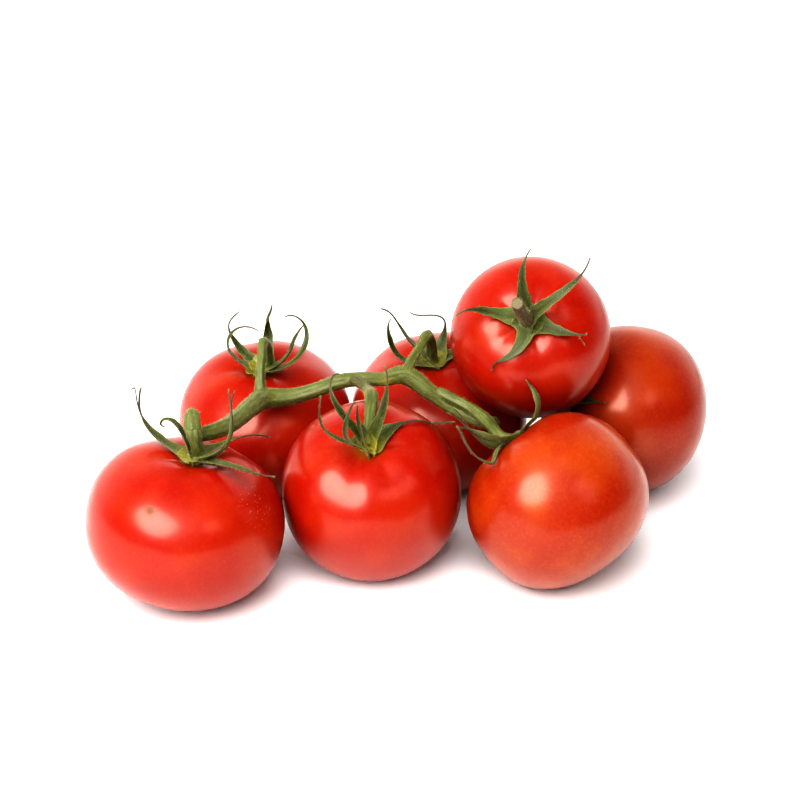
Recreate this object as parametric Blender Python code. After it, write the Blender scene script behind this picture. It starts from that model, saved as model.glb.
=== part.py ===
"""A truss of seven ripe tomatoes lying on a table, about 210 mm across.

Six fruits rest on the table on small flat spots. The seventh has snapped off its stalk and lies
on top of them. Every length and place below is in millimetres, with +Z up and the view from -Y.
"""

import math
from typing import NamedTuple

import bmesh
import bpy
from mathutils import Matrix, Vector

MM = 0.001
GAP = 0.3
BUNCH_MIDDLE = Vector((2.4, -29.75, 0.0))

# Fruit shape, as shares of the fruit's own radius and angles from its stalk in radians
PLUMPNESS = 2.3
DIMPLE_DEPTH = 0.14
DIMPLE_ANGLE = 0.30
RIB_ANGLE = 0.70
RIB_SPREAD = 0.38
FRUIT_SEGMENTS = 28
FRUIT_RINGS = 15
RING_CROWDING = 1.25

# Calyx
SEAT = 0.8
CROWN_RADIUS = 4.2
CROWN_FOOT = 1.8
CROWN_HEIGHT = 1.5
CROWN_SIDES = 12
SEPAL_THICKNESS = 0.7
SEPAL_HALF_WIDTH = 2.3
SEPAL_TIP_HALF_WIDTH = 0.45
SEPAL_TAPER = 0.75
SEPAL_CHANNEL = 0.3
SEPAL_CLEARANCE = 1.75
SEPAL_STEPS = 8

# Stem
ROUTE_STEPS = 2
TUBE_RESOLUTION = 2
JOINT_STRAIGHT = 0.8
PEDICEL_SINK = 1.0


class Fruit(NamedTuple):
    """One fruit: its middle, its radius across the axis, and the share of that along the axis."""

    centre: tuple
    radius: float
    share: float
    axis: tuple
    ribs: int
    rib_height: float
    rib_turn: float


class Sepal(NamedTuple):
    """One sepal, with angles in degrees round and above the plane across its fruit's axis.

    It sets off at turn and lift. Curl bends it up evenly and hook bends its tip, and swing
    carries it sideways.
    """

    turn: float
    length: float
    lift: float
    curl: float
    hook: float
    swing: float


FRUITS = {
    "front_left": Fruit((-70.2, -66.8, 25.2), 32.4, 0.785, (0.17, 0.05, 0.98), 5, 0.012, 0.3),
    "back_left": Fruit((-47.6, 5.5, 24.3), 30.4, 0.79, (-0.03, -0.20, 0.98), 5, 0.016, 1.2),
    "front_middle": Fruit((-9.5, -49.6, 27.3), 29.8, 0.91, (-0.04, -0.41, 0.91), 6, 0.014, 0.5),
    "back_middle": Fruit((14.0, 9.7, 24.9), 31.0, 0.80, (-0.11, -0.19, 0.98), 6, 0.012, 0.1),
    "front_right": Fruit((52.0, -56.2, 27.2), 30.0, 0.89, (-0.60, 0.40, 0.69), 5, 0.008, 0.0),
    "back_right": Fruit((80.5, 4.6, 29.0), 29.5, 0.86, (-0.92, -0.25, 0.30), 5, 0.010, 0.4),
    "top": Fruit((44.2, -13.1, 66.0), 27.2, 0.86, (-0.09, -0.75, 0.66), 5, 0.022, 0.5),
}

SEPALS = {
    "front_left": (
        Sepal(163, 38, 11, 63, 157, -86),
        Sepal(172, 21.5, 58, -10, -270, 0),
        Sepal(22, 28, 34, -60, 0, 10),
        Sepal(-34, 36, 29, 182, -63, -47),
        Sepal(-41, 31, 18, -35, 30, 35),
    ),
    "back_left": (
        Sepal(126, 30, 2, 186, -37, 75),
        Sepal(198, 35, 33, 205, -33, -42),
        Sepal(60, 26, 36, 146, -74, 180),
        Sepal(-32, 28, 32, 110, -151, 95),
        Sepal(-52, 41, 29, 66, -96, 286),
    ),
    "front_middle": (
        Sepal(207, 41, 41, 100, -43, -3),
        Sepal(177, 34, 66, -53, -62, -142),
        Sepal(223, 33, 46, 122, 77, 29),
        Sepal(178, 22, 74, 42, -24, 54),
        Sepal(30, 31, 59, 32, -93, 84),
        Sepal(36, 32, -9, -12, 27, -38),
    ),
    "back_middle": (
        Sepal(213, 30, 17, 159, -138, -191),
        Sepal(195, 32, 54, 64, -108, -16),
        Sepal(61, 31, 18, 324, -198, -92),
        Sepal(10, 22, 5, -20, 0, 15),
        Sepal(95, 14, 0, -10, 0, 0),
    ),
    "front_right": (
        Sepal(16, 26, 1, 125, 5, -100),
        Sepal(-91, 29, 7, 125, -115, -49),
        Sepal(257, 34, 3, 192, -183, 3),
        Sepal(-95, 39, -26, 230, -107, -85),
        Sepal(100, 22, 0, 30, -40, 0),
    ),
    "back_right": (
        Sepal(25, 28, -5, 0, 20, -50),
        Sepal(95, 20, -10, -20, 20, 0),
        Sepal(165, 20, -10, -20, 20, 0),
        Sepal(235, 22, -5, -20, 30, 0),
        Sepal(300, 23, -5, -20, 30, 0),
    ),
    "top": (
        Sepal(99, 29, 60, -25, -44, -50),
        Sepal(8, 36, 70, -175, 140, 58),
        Sepal(-31, 21.5, 8, 10, 30, 20),
        Sepal(255, 24, 17, -116, -18, -150),
        Sepal(161, 27, 6, 125, -195, 44),
    ),
}

# Stem routes, each point with the stem's radius there
RACHIS = (
    (-66.0, -61.0, 54.6, 2.3),
    (-60.5, -56.0, 53.3, 2.6),
    (-55.2, -46.0, 51.0, 2.9),
    (-49.6, -31.0, 49.0, 3.3),
    (-46.1, -22.0, 47.2, 3.6),
    (-37.3, -20.0, 46.9, 2.8),
    (-29.5, -20.0, 49.2, 2.5),
    (-20.6, -21.0, 53.2, 2.5),
    (-14.2, -22.0, 54.6, 2.5),
    (-6.1, -22.0, 54.6, 2.3),
    (1.7, -20.0, 55.2, 3.3),
    (9.5, -22.5, 50.6, 2.8),
    (17.2, -25.0, 45.8, 2.4),
    (23.8, -28.5, 43.9, 2.3),
    (27.6, -29.5, 42.3, 2.2),
    (32.5, -26.5, 40.3, 2.1),
)

# Each stalk's knuckle, where its fruit would part from the stem, is at point KNUCKLE of its route
KNUCKLE = 3
STALKS = {
    "front_left": (
        (-66.0, -59.5, 54.5, 2.2),
        (-66.5, -60.5, 59.8, 2.1),
        (-66.5, -63.4, 63.0, 2.4),
        (-66.0, -67.2, 60.0, 2.7),
        (-65.2, -67.6, 55.0, 2.1),
        (-64.8, -66.0, 51.0, 2.1),
    ),
    "back_left": (
        (-47.2, -22.0, 48.6, 2.4),
        (-47.5, -18.0, 54.2, 1.6),
        (-47.2, -13.0, 58.3, 1.5),
        (-46.9, -7.0, 61.0, 1.7),
        (-45.9, -1.5, 56.6, 1.6),
        (-45.7, 0.5, 50.5, 1.7),
    ),
    "front_middle": (
        (-16.2, -22.0, 54.6, 1.9),
        (-13.1, -27.0, 55.6, 1.7),
        (-10.8, -33.0, 56.4, 1.7),
        (-9.4, -43.0, 59.3, 2.2),
        (-9.6, -51.0, 58.2, 1.9),
        (-10.0, -56.0, 54.6, 1.9),
    ),
    "back_middle": (
        (2.0, -20.0, 56.0, 2.2),
        (3.7, -17.0, 58.6, 1.7),
        (6.5, -11.0, 60.8, 1.6),
        (9.2, -3.5, 62.0, 1.9),
        (10.7, 1.0, 56.8, 1.8),
        (11.0, 3.5, 51.0, 1.9),
    ),
    "front_right": (
        (13.0, -23.0, 50.2, 2.0),
        (17.6, -26.0, 49.3, 1.9),
        (23.5, -29.8, 47.7, 1.9),
        (28.8, -36.0, 46.3, 2.3),
        (31.0, -41.0, 46.0, 1.8),
        (33.4, -45.0, 45.4, 1.8),
        (35.3, -45.8, 45.0, 1.9),
    ),
    "back_right": (
        (30.0, -27.8, 41.2, 1.9),
        (36.5, -20.5, 29.0, 1.8),
        (46.0, -8.5, 20.5, 1.8),
        (52.8, -4.0, 33.0, 2.0),
        (56.5, -2.3, 37.1, 1.8),
    ),
}
SNAPPED_STALK = (
    (37.5, -46.0, 94.5, 2.1),
    (39.3, -40.0, 88.5, 2.1),
    (41.2, -34.0, 83.6, 2.2),
)

RED = (0.70, 0.02, 0.01)
SKIN_COLOURS = {"front_right": (0.76, 0.08, 0.01), "back_right": (0.62, 0.05, 0.02)}
STEM_GREEN = (0.18, 0.22, 0.06)
CALYX_GREEN = (0.14, 0.20, 0.05)
SKIN_ROUGHNESS = 0.25
GREEN_ROUGHNESS = 0.6


def clear_scene():
    """Removes whatever the file opened with."""
    for obj in list(bpy.data.objects):
        bpy.data.objects.remove(obj)


def new_collection(name):
    """Makes a collection in the scene."""
    collection = bpy.data.collections.new(name)
    bpy.context.scene.collection.children.link(collection)
    return collection


def new_material(name, colour, roughness):
    """Makes a plain Principled material."""
    material = bpy.data.materials.new(name)
    material.use_nodes = True
    shader = material.node_tree.nodes["Principled BSDF"]
    shader.inputs["Base Color"].default_value = (*colour, 1.0)
    shader.inputs["Roughness"].default_value = roughness
    shader.inputs["Metallic"].default_value = 0.0
    return material


def placed(point):
    """Takes a point in millimetres to metres, over the middle of the bunch."""
    return (Vector(point[:3]) - BUNCH_MIDDLE) * MM


def fruit_frame(fruit):
    """Places the fruit's own frame: z runs to its stalk, and x stays in the plane of x and z."""
    z = Vector(fruit.axis).normalized()
    x = Vector((z.z, 0.0, -z.x)).normalized()
    y = z.cross(x)
    turn = Matrix((x, y, z)).transposed().to_4x4()
    return Matrix.Translation(placed(fruit.centre)) @ turn


def skin_radius(fruit, direction):
    """Distance in millimetres from the fruit's centre to its skin along a unit direction."""
    across = math.hypot(direction.x, direction.y)
    polar = fruit.radius * fruit.share
    flatness = (across / fruit.radius) ** PLUMPNESS + (abs(direction.z) / polar) ** PLUMPNESS
    angle = math.atan2(across, direction.z)
    turn = math.atan2(direction.y, direction.x)
    dimple = 1 - DIMPLE_DEPTH * math.exp(-((angle / DIMPLE_ANGLE) ** 2))
    shoulder = math.exp(-(((angle - RIB_ANGLE) / RIB_SPREAD) ** 2))
    ribs = 1 + fruit.rib_height * shoulder * math.cos(fruit.ribs * (turn - fruit.rib_turn))
    return dimple * ribs / flatness ** (1 / PLUMPNESS)


def add_fruit(place, fruit, parts):
    """Makes a fruit from a sphere, with its flat spot where it rests on the table."""
    bm = bmesh.new()
    bmesh.ops.create_uvsphere(bm, u_segments=FRUIT_SEGMENTS, v_segments=FRUIT_RINGS, radius=1.0)
    for vert in bm.verts:
        across = Vector((vert.co.x, vert.co.y))
        turn = math.atan2(across.y, across.x)
        angle = math.pi * (math.atan2(across.length, vert.co.z) / math.pi) ** RING_CROWDING
        direction = Vector((
            math.sin(angle) * math.cos(turn),
            math.sin(angle) * math.sin(turn),
            math.cos(angle),
        ))
        vert.co = direction * skin_radius(fruit, direction) * MM
    frame = fruit_frame(fruit)
    if place != "top":
        inward = frame.inverted()
        cut = bmesh.ops.bisect_plane(
            bm,
            geom=[*bm.verts, *bm.edges, *bm.faces],
            plane_co=inward @ Vector((0.0, 0.0, 0.0)),
            plane_no=inward.to_3x3() @ Vector((0.0, 0.0, 1.0)),
            clear_inner=True,
        )
        rim = [item for item in cut["geom_cut"] if isinstance(item, bmesh.types.BMEdge)]
        bmesh.ops.contextual_create(bm, geom=rim)
    bmesh.ops.recalc_face_normals(bm, faces=bm.faces)
    skin = new_material(f"skin_{place}", SKIN_COLOURS.get(place, RED), SKIN_ROUGHNESS)
    obj = add_object(f"fruit_{place}", bm, parts, skin)
    obj.matrix_world = frame
    return obj


def add_object(name, bm, collection, material):
    """Turns a bmesh into a smooth object with its material."""
    mesh = bpy.data.meshes.new(name)
    bm.to_mesh(mesh)
    bm.free()
    mesh.shade_smooth()
    mesh.set_sharp_from_angle(angle=math.radians(50))
    mesh.materials.append(material)
    obj = bpy.data.objects.new(name, mesh)
    collection.objects.link(obj)
    return obj


def smooth_route(points):
    """Runs a smooth curve through points, each with its radius as a fourth number."""
    knots = [Vector(point) for point in points]
    route = []
    for index in range(len(knots) - 1):
        before = knots[max(index - 1, 0)]
        start, end = knots[index], knots[index + 1]
        after = knots[min(index + 2, len(knots) - 1)]
        for step in range(ROUTE_STEPS):
            t = step / ROUTE_STEPS
            leave = (end - before) / 2
            arrive = (after - start) / 2
            rise = t * t * (3 - 2 * t)
            route.append(
                start * (1 - rise)
                + end * rise
                + leave * (t * (1 - t) ** 2)
                - arrive * (t * t * (1 - t))
            )
    route.append(knots[-1])
    return route


def add_tube(name, route, collection, material):
    """Makes a closed tube along a route of points with radii, in world space."""
    curve = bpy.data.curves.new(name, "CURVE")
    curve.dimensions = "3D"
    curve.bevel_depth = MM
    curve.bevel_resolution = TUBE_RESOLUTION
    curve.use_fill_caps = True
    spline = curve.splines.new("POLY")
    spline.points.add(len(route) - 1)
    for knot, point in zip(spline.points, route):
        knot.co = (*placed(point), 1.0)
        knot.radius = point[3]
    guide = bpy.data.objects.new(name, curve)
    collection.objects.link(guide)
    bpy.context.view_layer.update()
    graph = bpy.context.evaluated_depsgraph_get()
    mesh = bpy.data.meshes.new_from_object(guide.evaluated_get(graph))
    bm = bmesh.new()
    bm.from_mesh(mesh)
    bmesh.ops.remove_doubles(bm, verts=bm.verts, dist=1e-6)
    bmesh.ops.recalc_face_normals(bm, faces=bm.faces)
    bpy.data.meshes.remove(mesh)
    bpy.data.objects.remove(guide)
    bpy.data.curves.remove(curve)
    return add_object(name, bm, collection, material)


def join(base, pieces):
    """Unites the pieces with the base into one solid, and removes them."""
    helpers = new_collection("Helpers")
    for piece in pieces:
        helpers.objects.link(piece)
    modifier = base.modifiers.new("Join", "BOOLEAN")
    modifier.operation = "UNION"
    modifier.operand_type = "COLLECTION"
    modifier.collection = helpers
    modifier.use_self = True
    bpy.context.view_layer.update()
    graph = bpy.context.evaluated_depsgraph_get()
    united = bpy.data.meshes.new_from_object(base.evaluated_get(graph))
    base.modifiers.clear()
    base.data = united
    for piece in pieces:
        bpy.data.objects.remove(piece)
    bpy.data.collections.remove(helpers)


def split_stalk(place):
    """Splits a stalk's smooth route at its knuckle, with straight ends that face each other."""
    route = smooth_route(STALKS[place])
    at = KNUCKLE * ROUTE_STEPS
    knuckle = route[at]
    along = (route[at + 1] - route[at - 1]).to_3d().normalized()
    near = (along * (GAP / 2)).to_4d() - Vector((0, 0, 0, 1))
    far = (along * (GAP / 2 + JOINT_STRAIGHT)).to_4d() - Vector((0, 0, 0, 1))
    stem_side = [*route[:at], knuckle - far, knuckle - near]
    fruit_side = [knuckle + near, knuckle + far, *route[at + 1 :]]
    return stem_side, fruit_side


def sepal_path(fruit, sepal):
    """Midline of a sepal in its fruit's frame, held clear of the skin."""
    pole = skin_radius(fruit, Vector((0.0, 0.0, 1.0)))
    point = Vector((0.0, 0.0, pole + SEAT + CROWN_HEIGHT / 2))
    path = [(point.copy(), math.radians(sepal.turn))]
    step = sepal.length / SEPAL_STEPS
    for index in range(SEPAL_STEPS):
        share = (index + 0.5) / SEPAL_STEPS
        rise = math.radians(sepal.lift + sepal.curl * share**2 + sepal.hook * share**6)
        turn = math.radians(sepal.turn + sepal.swing * share**2)
        point += step * Vector((
            math.cos(rise) * math.cos(turn),
            math.cos(rise) * math.sin(turn),
            math.sin(rise),
        ))
        floor = skin_radius(fruit, point.normalized()) + SEPAL_CLEARANCE
        lifted = point * max(1.0, floor / point.length)
        path.append((lifted, turn))
    return path


def add_sepal(fruit, sepal, collection, material):
    """Lofts a tapering channelled blade along a sepal's midline."""
    path = sepal_path(fruit, sepal)
    bm = bmesh.new()
    rings = []
    for index, (point, turn) in enumerate(path):
        before = path[max(index - 1, 0)][0]
        after = path[min(index + 1, len(path) - 1)][0]
        along = (after - before).normalized()
        side = Vector((-math.sin(turn), math.cos(turn), 0.0))
        side = (side - along * side.dot(along)).normalized()
        face = along.cross(side)
        share = index / SEPAL_STEPS
        spare = SEPAL_HALF_WIDTH - SEPAL_TIP_HALF_WIDTH
        half = SEPAL_TIP_HALF_WIDTH + spare * (1 - share) ** SEPAL_TAPER
        channel = SEPAL_CHANNEL * half
        outline = (
            (-half, channel),
            (-half, channel - SEPAL_THICKNESS),
            (0.0, -SEPAL_THICKNESS),
            (half, channel - SEPAL_THICKNESS),
            (half, channel),
            (0.0, 0.0),
        )
        rings.append([bm.verts.new((point + side * across + face * up) * MM) for across, up in outline])
    for ring, following in zip(rings, rings[1:]):
        for corner in range(len(ring)):
            other = (corner + 1) % len(ring)
            bm.faces.new((ring[corner], ring[other], following[other], following[corner]))
    bm.faces.new(rings[0])
    bm.faces.new(list(reversed(rings[-1])))
    bmesh.ops.triangulate(bm, faces=bm.faces)
    bmesh.ops.recalc_face_normals(bm, faces=bm.faces)
    obj = add_object("Sepal", bm, collection, material)
    obj.matrix_world = fruit_frame(fruit)
    return obj


def add_crown(fruit, name, collection, material):
    """Makes the small disc at the middle of a calyx."""
    bm = bmesh.new()
    bmesh.ops.create_cone(
        bm,
        cap_ends=True,
        segments=CROWN_SIDES,
        radius1=CROWN_FOOT * MM,
        radius2=CROWN_RADIUS * MM,
        depth=CROWN_HEIGHT * MM,
    )
    pole = skin_radius(fruit, Vector((0.0, 0.0, 1.0)))
    bmesh.ops.translate(bm, verts=bm.verts, vec=(0.0, 0.0, (pole + SEAT + CROWN_HEIGHT / 2) * MM))
    obj = add_object(name, bm, collection, material)
    obj.matrix_world = fruit_frame(fruit)
    return obj


def add_calyx(place, fruit, parts):
    """Makes a calyx: its crown, its sepals and the stalk up to the knuckle, as one solid."""
    material = new_material(f"calyx_{place}", CALYX_GREEN, GREEN_ROUGHNESS)
    calyx = add_crown(fruit, f"calyx_{place}", parts, material)
    scene = bpy.context.scene.collection
    pieces = [add_sepal(fruit, sepal, scene, material) for sepal in SEPALS[place]]
    stalk = smooth_route(SNAPPED_STALK) if place == "top" else split_stalk(place)[1]
    pole = skin_radius(fruit, Vector((0.0, 0.0, 1.0))) + SEAT + PEDICEL_SINK
    foot = fruit_frame(fruit) @ Vector((0.0, 0.0, pole * MM))
    foot = foot / MM + BUNCH_MIDDLE
    pieces.append(add_tube("Stalk", [*stalk, Vector((*foot, stalk[-1][3]))], scene, material))
    join(calyx, pieces)
    return calyx


def add_stem(parts):
    """Makes the stem: the rachis with its cut end and the lower half of every stalk."""
    material = new_material("stem", STEM_GREEN, GREEN_ROUGHNESS)
    stem = add_tube("stem", smooth_route(RACHIS), parts, material)
    scene = bpy.context.scene.collection
    join(stem, [add_tube("Branch", split_stalk(place)[0], scene, material) for place in STALKS])
    return stem


def main():
    """Builds the truss."""
    clear_scene()
    parts = new_collection("Truss of tomatoes")
    for place, fruit in FRUITS.items():
        add_fruit(place, fruit, parts)
    for place, fruit in FRUITS.items():
        add_calyx(place, fruit, parts)
    add_stem(parts)


main()
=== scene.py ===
"""Looks of a truss of seven ripe tomatoes lying on a pale table.

Lengths and places are in millimetres where no other unit is named, with +Z up and the view from -Y.
"""

import math
from typing import NamedTuple

import bmesh
import bpy
import numpy as np
from mathutils import Matrix, Vector, noise


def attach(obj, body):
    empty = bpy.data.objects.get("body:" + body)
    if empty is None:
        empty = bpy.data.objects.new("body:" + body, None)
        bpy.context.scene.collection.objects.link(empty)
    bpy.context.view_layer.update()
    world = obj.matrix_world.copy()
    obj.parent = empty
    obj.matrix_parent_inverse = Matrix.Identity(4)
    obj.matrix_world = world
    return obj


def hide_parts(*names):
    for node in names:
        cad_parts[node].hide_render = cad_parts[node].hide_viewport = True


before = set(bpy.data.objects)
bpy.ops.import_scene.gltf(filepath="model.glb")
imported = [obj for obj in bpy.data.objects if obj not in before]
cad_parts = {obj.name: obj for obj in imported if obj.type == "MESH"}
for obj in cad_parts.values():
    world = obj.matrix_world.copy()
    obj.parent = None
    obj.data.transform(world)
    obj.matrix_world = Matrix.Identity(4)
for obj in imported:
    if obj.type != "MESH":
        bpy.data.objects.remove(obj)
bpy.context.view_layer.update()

MM = 0.001
BUNCH_MIDDLE = Vector((2.4, -29.75, 0.0))
BODY = "root"

# Fruit shape, as shares of the fruit's own radius and angles from its stalk in radians
PLUMPNESS = 2.3
DIMPLE_DEPTH = 0.14
DIMPLE_ANGLE = 0.30
RIB_ANGLE = 0.70
RIB_SPREAD = 0.38
FRUIT_SEGMENTS = 176
FRUIT_RINGS = 104
RING_CROWDING = 1.25
CREASE_ANGLE = 0.36
LUMPS = 0.016

# Calyx
SEAT = 0.8
CROWN_RADIUS = 3.2
CROWN_HEIGHT = 1.5
STAR_WIDTH = 3.2
STAR_REACH = 5.4
SEPAL_CLEARANCE = 1.1
SEPAL_STEPS = 40
SEPAL_SIDES = 20
ROOT_STEPS = 7

# Stem
ROUTE_STEPS = 8
TUBE_SIDES = 24
KNUCKLE = 3
KNUCKLE_OVERLAP = 0.25
PEDICEL_SINK = 1.0
VOXEL = 0.28

# Hairs, with their number for each square millimetre
HAIR_LENGTH = 0.9
HAIR_RADIUS = 0.028
HAIR_LEAN = 0.5
CALYX_HAIRS = 1.2
STEM_HAIRS = 1.6


class Fruit(NamedTuple):
    """One fruit: its middle, its radius across the axis, and the share of that along the axis."""

    centre: tuple
    radius: float
    share: float
    axis: tuple
    ribs: int
    rib_height: float
    rib_turn: float


class Sepal(NamedTuple):
    """One sepal, with angles in degrees round and above the plane across its fruit's axis.

    It sets off at turn and lift. Curl bends it up evenly and hook bends its tip, and swing
    carries it sideways. Breadth is a share of the usual width. Past the share slim it is a
    withered thread, and fork parts a second thread from it, in millimetres at the tip.
    """

    turn: float
    length: float
    lift: float
    curl: float
    hook: float
    swing: float
    breadth: float = 1.0
    slim: float = 0.84
    fork: float = 0.0


FRUITS = {
    "front_left": Fruit((-70.2, -66.8, 25.2), 32.4, 0.785, (0.17, 0.05, 0.98), 5, 0.012, 0.3),
    "back_left": Fruit((-47.6, 5.5, 24.3), 30.4, 0.79, (-0.03, -0.20, 0.98), 5, 0.016, 1.2),
    "front_middle": Fruit((-9.5, -49.6, 27.3), 29.8, 0.91, (-0.04, -0.41, 0.91), 6, 0.014, 0.5),
    "back_middle": Fruit((14.0, 9.7, 24.9), 31.0, 0.80, (-0.11, -0.19, 0.98), 6, 0.012, 0.1),
    "front_right": Fruit((52.0, -56.2, 27.2), 30.0, 0.89, (-0.60, 0.40, 0.69), 5, 0.008, 0.0),
    "back_right": Fruit((80.5, 4.6, 29.0), 29.5, 0.86, (-0.92, -0.25, 0.30), 5, 0.010, 0.4),
    "top": Fruit((44.2, -13.1, 66.0), 27.2, 0.86, (-0.09, -0.75, 0.66), 5, 0.022, 0.5),
}

SEPALS = {
    "front_left": (
        Sepal(163, 38, 11, 63, 157, -86, 1.25, 0.62, 3.0),
        Sepal(172, 21.5, 58, -10, -270, 0, 1.1, 0.95),
        Sepal(22, 28, 34, -60, 0, 10, 0.7, 0.6),
        Sepal(-34, 36, 29, 182, -63, -47, 0.75, 0.8, 2.0),
        Sepal(-41, 31, 18, -35, 30, 35, 1.25),
    ),
    "back_left": (
        Sepal(126, 30, 2, 186, -37, 75, 0.95, 0.72),
        Sepal(198, 35, 33, 205, -33, -42, 0.75, 0.85),
        Sepal(60, 26, 36, 146, -74, 180, 0.9, 0.99),
        Sepal(-32, 28, 32, 110, -151, 95, 1.0, 0.97),
        Sepal(-52, 41, 29, 66, -96, 286, 0.75, 0.9),
    ),
    "front_middle": (
        Sepal(207, 41, 41, 100, -43, -3, 0.7, 0.86),
        Sepal(177, 34, 66, -53, -62, -142, 0.85, 0.8),
        Sepal(223, 33, 46, 122, 77, 29, 0.7, 0.9),
        Sepal(178, 22, 74, 42, -24, 54, 1.6),
        Sepal(30, 31, 59, 32, -93, 84, 1.0, 0.82),
        Sepal(36, 32, -9, -12, 27, -38, 1.1, 0.42),
    ),
    "back_middle": (
        Sepal(213, 30, 17, 159, -138, -191, 0.85, 0.95),
        Sepal(195, 32, 54, 64, -108, -16, 1.35, 0.74),
        Sepal(61, 31, 18, 324, -198, -92, 1.1, 0.48),
        Sepal(10, 22, 5, -20, 0, 15),
        Sepal(95, 14, 0, -10, 0, 0),
    ),
    "front_right": (
        Sepal(16, 26, 1, 125, 5, -100, 1.3, 0.97),
        Sepal(-91, 29, 7, 125, -115, -49, 1.45, 0.9),
        Sepal(257, 34, 3, 192, -183, 3, 1.0, 0.62, 2.0),
        Sepal(-95, 39, -26, 230, -107, -85, 0.6, 0.7, 2.0),
        Sepal(100, 22, 0, 30, -40, 0),
    ),
    "back_right": (
        Sepal(25, 28, -5, 0, 20, -50),
        Sepal(95, 20, -10, -20, 20, 0),
        Sepal(165, 20, -10, -20, 20, 0),
        Sepal(235, 22, -5, -20, 30, 0),
        Sepal(300, 23, -5, -20, 30, 0),
    ),
    "top": (
        Sepal(99, 29, 60, -25, -44, -50, 1.15, 0.9),
        Sepal(8, 36, 70, -175, 140, 58, 1.05, 0.86),
        Sepal(-31, 21.5, 8, 10, 30, 20, 1.05, 0.84, -4.0),
        Sepal(255, 24, 17, -116, -18, -150, 1.05, 0.8),
        Sepal(161, 27, 6, 125, -195, 44, 1.05, 0.88),
    ),
}

# How yellow the foot of each calyx is, and how pale its sepals are, as shares
YELLOWING = {"front_left": 0.6, "back_left": 0.9, "front_middle": 0.8, "back_middle": 0.6}
PALENESS = {"front_right": 0.5, "front_left": 0.15, "top": 0.1}

# Stem routes, each point with the stem's radius there
RACHIS = (
    (-66.0, -61.0, 54.6, 2.3),
    (-60.5, -56.0, 53.3, 2.6),
    (-55.2, -46.0, 51.0, 2.9),
    (-49.6, -31.0, 49.0, 3.3),
    (-46.1, -22.0, 47.2, 3.6),
    (-37.3, -20.0, 46.9, 2.8),
    (-29.5, -20.0, 49.2, 2.5),
    (-20.6, -21.0, 53.2, 2.5),
    (-14.2, -22.0, 54.6, 2.5),
    (-6.1, -22.0, 54.6, 2.3),
    (1.7, -20.0, 55.2, 3.3),
    (9.5, -22.5, 50.6, 2.8),
    (17.2, -25.0, 45.8, 2.4),
    (23.8, -28.5, 43.9, 2.3),
    (27.6, -29.5, 42.3, 2.2),
    (32.5, -26.5, 40.3, 2.1),
)
STALKS = {
    "front_left": (
        (-66.0, -59.5, 54.5, 2.2),
        (-66.5, -60.5, 59.8, 2.1),
        (-66.5, -63.4, 63.0, 2.4),
        (-66.0, -67.2, 60.0, 2.7),
        (-65.2, -67.6, 55.0, 2.1),
        (-64.8, -66.0, 51.0, 2.1),
    ),
    "back_left": (
        (-47.2, -22.0, 48.6, 2.4),
        (-47.5, -18.0, 54.2, 1.6),
        (-47.2, -13.0, 58.3, 1.5),
        (-46.9, -7.0, 61.0, 1.7),
        (-45.9, -1.5, 56.6, 1.6),
        (-45.7, 0.5, 50.5, 1.7),
    ),
    "front_middle": (
        (-16.2, -22.0, 54.6, 1.9),
        (-13.1, -27.0, 55.6, 1.7),
        (-10.8, -33.0, 56.4, 1.7),
        (-9.4, -43.0, 59.3, 2.2),
        (-9.6, -51.0, 58.2, 1.9),
        (-10.0, -56.0, 54.6, 1.9),
    ),
    "back_middle": (
        (2.0, -20.0, 56.0, 2.2),
        (3.7, -17.0, 58.6, 1.7),
        (6.5, -11.0, 60.8, 1.6),
        (9.2, -3.5, 62.0, 1.9),
        (10.7, 1.0, 56.8, 1.8),
        (11.0, 3.5, 51.0, 1.9),
    ),
    "front_right": (
        (13.0, -23.0, 50.2, 2.0),
        (17.6, -26.0, 49.3, 1.9),
        (23.5, -29.8, 47.7, 1.9),
        (28.8, -36.0, 46.3, 2.3),
        (31.0, -41.0, 46.0, 1.8),
        (33.4, -45.0, 45.4, 1.8),
        (35.3, -45.8, 45.0, 1.9),
    ),
    "back_right": (
        (30.0, -27.8, 41.2, 1.9),
        (36.5, -20.5, 29.0, 1.8),
        (46.0, -8.5, 20.5, 1.8),
        (52.8, -4.0, 33.0, 2.0),
        (56.5, -2.3, 37.1, 1.8),
    ),
}
YELLOW_SPOT = (-4.5, -24.5, 53.5)
SNAPPED_STALK = (
    (37.5, -46.0, 94.5, 2.1),
    (39.3, -40.0, 88.5, 2.1),
    (41.2, -34.0, 83.6, 2.2),
)


class Skin(NamedTuple):
    """A fruit's skin colours as linear red, green and blue, and how strongly the paler one shows."""

    ripe: tuple = (0.28, 0.009, 0.001)
    pale: tuple = (0.38, 0.046, 0.004)
    mottle: float = 0.5
    slot: str = "skin_red"


SKINS = {
    "front_right": Skin((0.26, 0.020, 0.002), (0.35, 0.070, 0.008), 0.9, "skin_orange_red"),
    "back_right": Skin((0.24, 0.018, 0.002), (0.33, 0.060, 0.007), 0.7, "skin_brown_red"),
}

# Marks on the front left fruit, with the scar's reach in fruit radii
SCAR_MIDDLE = (-78.2, -90.0, 43.4)
SCAR_RADIUS = 0.095
FLECKED_MIDDLE = (-45.3, -78.8, 38.1)

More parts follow.
